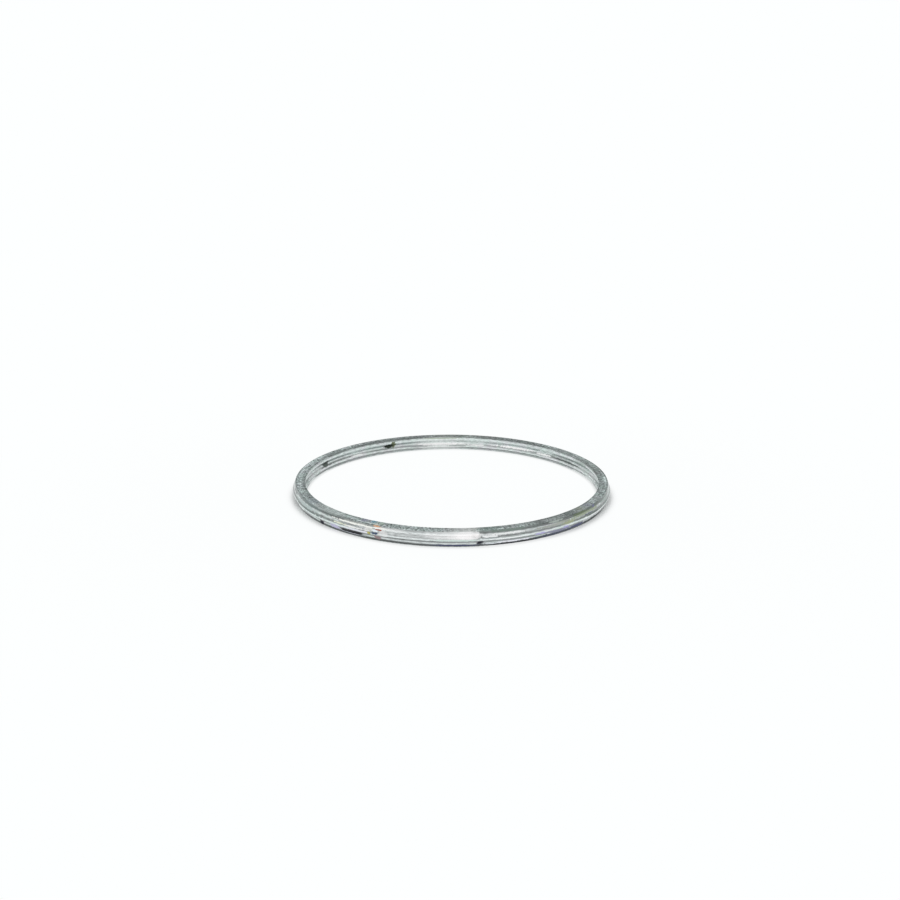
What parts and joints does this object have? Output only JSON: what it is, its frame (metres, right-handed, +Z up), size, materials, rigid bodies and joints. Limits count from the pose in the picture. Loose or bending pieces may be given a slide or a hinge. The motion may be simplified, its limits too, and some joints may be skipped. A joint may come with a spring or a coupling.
{
  "type": "spiral-wound gasket",
  "caption": "Thin ring gasket for a turbocharger joint: a V-section steel strip wound in a spiral with soft filler between its turns, its ends spot-welded.",
  "frame": {"origin": "centre of the ring on its lower sealing face", "axes": "+Z up along the ring's axis; the strip begins at the bore on the +Y side and ends on the outside near -Y, the side the picture shows in front"},
  "size_m": [0.0998, 0.1, 0.0045],
  "materials": {
    "steel": "bright rolled stainless strip with heat-tinted spot welds",
    "filler": "matt grainy graphite"
  },
  "bodies": {
    "root": {"winding_strip": "steel", "filler_strip": "filler"}
  },
  "joints": []
}
